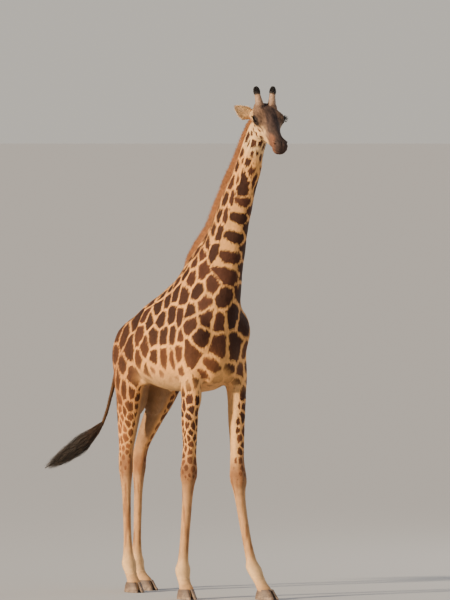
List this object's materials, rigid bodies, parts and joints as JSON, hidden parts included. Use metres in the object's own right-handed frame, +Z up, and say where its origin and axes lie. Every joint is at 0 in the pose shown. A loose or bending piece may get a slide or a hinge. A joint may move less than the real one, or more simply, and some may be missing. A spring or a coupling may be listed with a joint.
{
  "type": "giraffe",
  "caption": "Life-size giraffe standing still on cloven hooves: long upright neck with a short mane, head turned to its left, horn tufts, tufted tail swept to its right.",
  "frame": {"origin": "centre of the bounding box, at floor level under the hooves", "axes": "+Z up, -Y the way the body faces, +X the giraffe's left"},
  "size_m": [0.9997, 3.0544, 4.3975],
  "materials": {
    "coat": "short flat hair, brown patches on cream",
    "mane_hair": "short upright orange-brown hair",
    "tail_hair": "long coarse black hair",
    "ossicone": "skin and short hair, black tips",
    "eye": "wet gloss",
    "hoof": "dusty matt horn"
  },
  "bodies": {
    "root": {"head": "coat", "neck": "coat", "trunk": "coat", "leg_front_right": "coat", "leg_front_left": "coat", "leg_hind_right": "coat", "leg_hind_left": "coat", "tail": "coat", "ear_right": "coat", "ear_left": "coat", "mane": "mane_hair", "tail_tuft": "tail_hair", "horn_right": "ossicone", "horn_left": "ossicone", "eye_right": "eye", "eye_left": "eye", "hoof_front_left_a": "hoof", "hoof_front_left_b": "hoof", "hoof_front_right_a": "hoof", "hoof_front_right_b": "hoof", "hoof_hind_left_a": "hoof", "hoof_hind_left_b": "hoof", "hoof_hind_right_a": "hoof", "hoof_hind_right_b": "hoof"}
  },
  "joints": []
}
